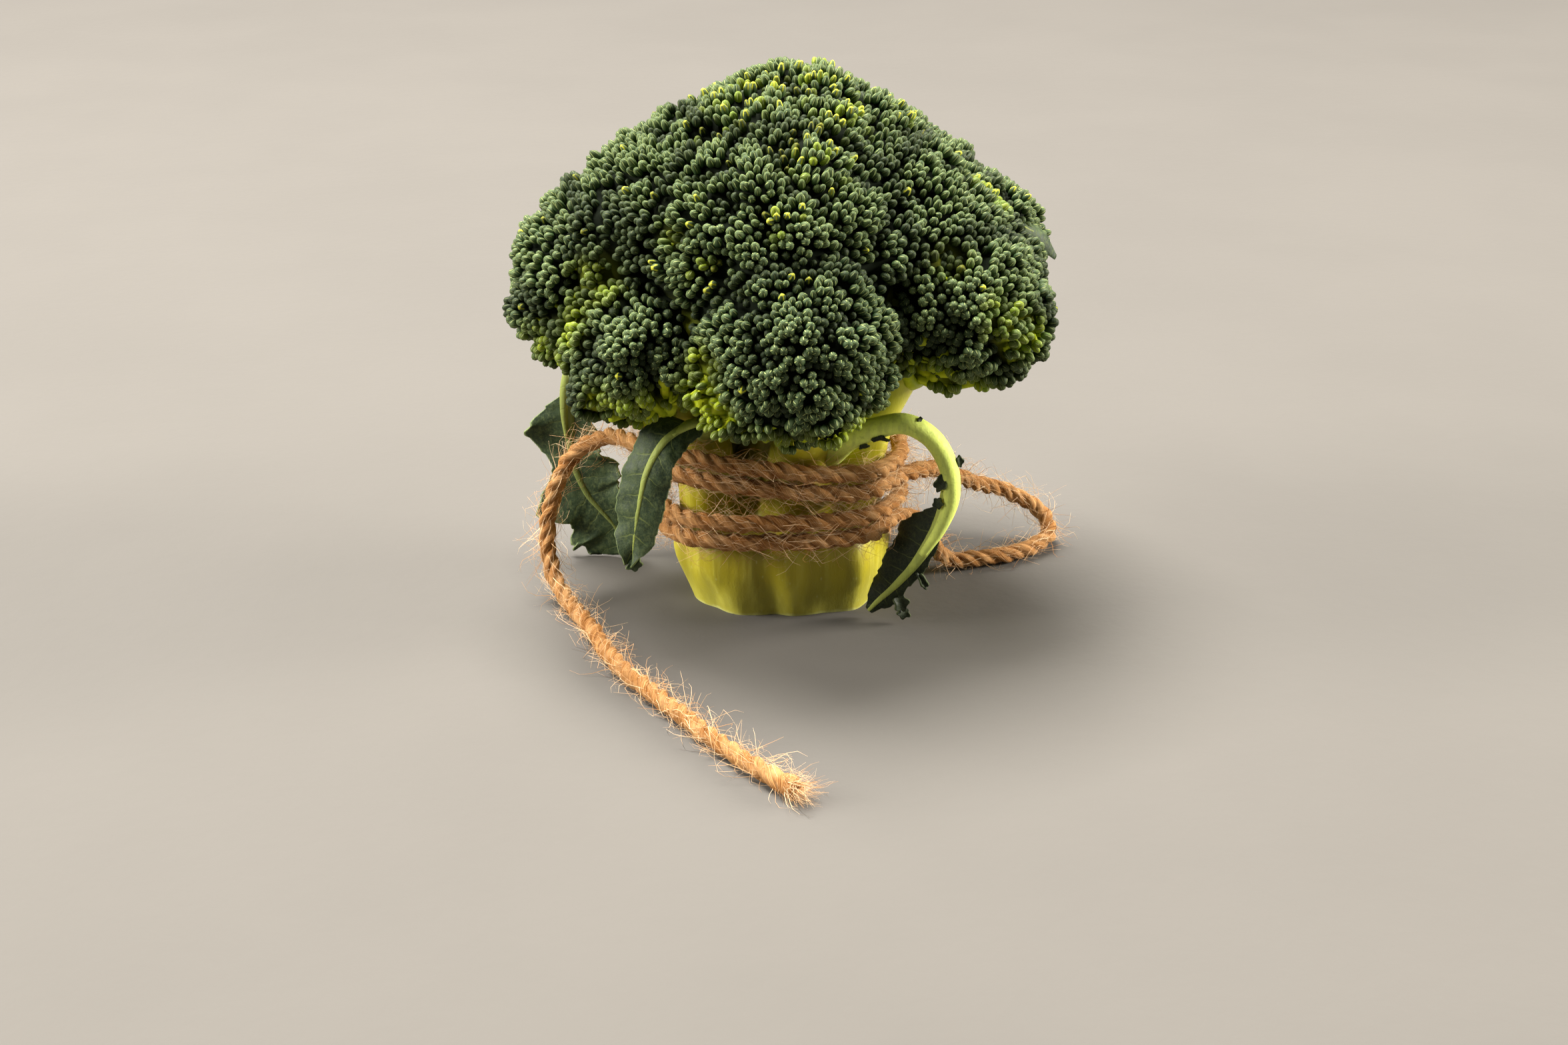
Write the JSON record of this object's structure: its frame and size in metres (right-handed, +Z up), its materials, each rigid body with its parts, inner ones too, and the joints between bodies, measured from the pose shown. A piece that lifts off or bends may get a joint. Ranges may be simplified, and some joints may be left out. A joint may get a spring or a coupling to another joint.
{
  "type": "broccoli head",
  "caption": "Domed head of fresh broccoli on a short cut stalk that stands upright, with small stalk leaves and jute twine wound round the stalk.",
  "frame": {"origin": "middle of the stalk's cut face, on the surface that the head stands on", "axes": "+Z up the stalk to the top of the crown; -Y is the front, with the large front floret, and +X is to the right of it"},
  "size_m": [0.1491, 0.1958, 0.1414],
  "materials": {
    "stalk": "satin",
    "buds": "matte",
    "leaf": "satin",
    "twine": "matte"
  },
  "bodies": {
    "root": {"stalk": "stalk", "floret_crown": "buds", "floret_upper_front": "buds", "floret_upper_left": "buds", "floret_upper_right": "buds", "floret_upper_back_left": "buds", "floret_upper_back_right": "buds", "floret_left": "buds", "floret_left_front": "buds", "floret_front": "buds", "floret_right": "buds", "floret_right_back": "buds", "floret_back": "buds", "floret_back_left": "buds", "leaf_front_left": "leaf", "leaf_back_left": "leaf", "leaf_right": "leaf", "leaf_tip": "leaf", "twine_lower_wraps": "twine", "twine_loop": "twine", "twine_upper_wraps": "twine", "twine_tail": "twine"}
  },
  "joints": []
}
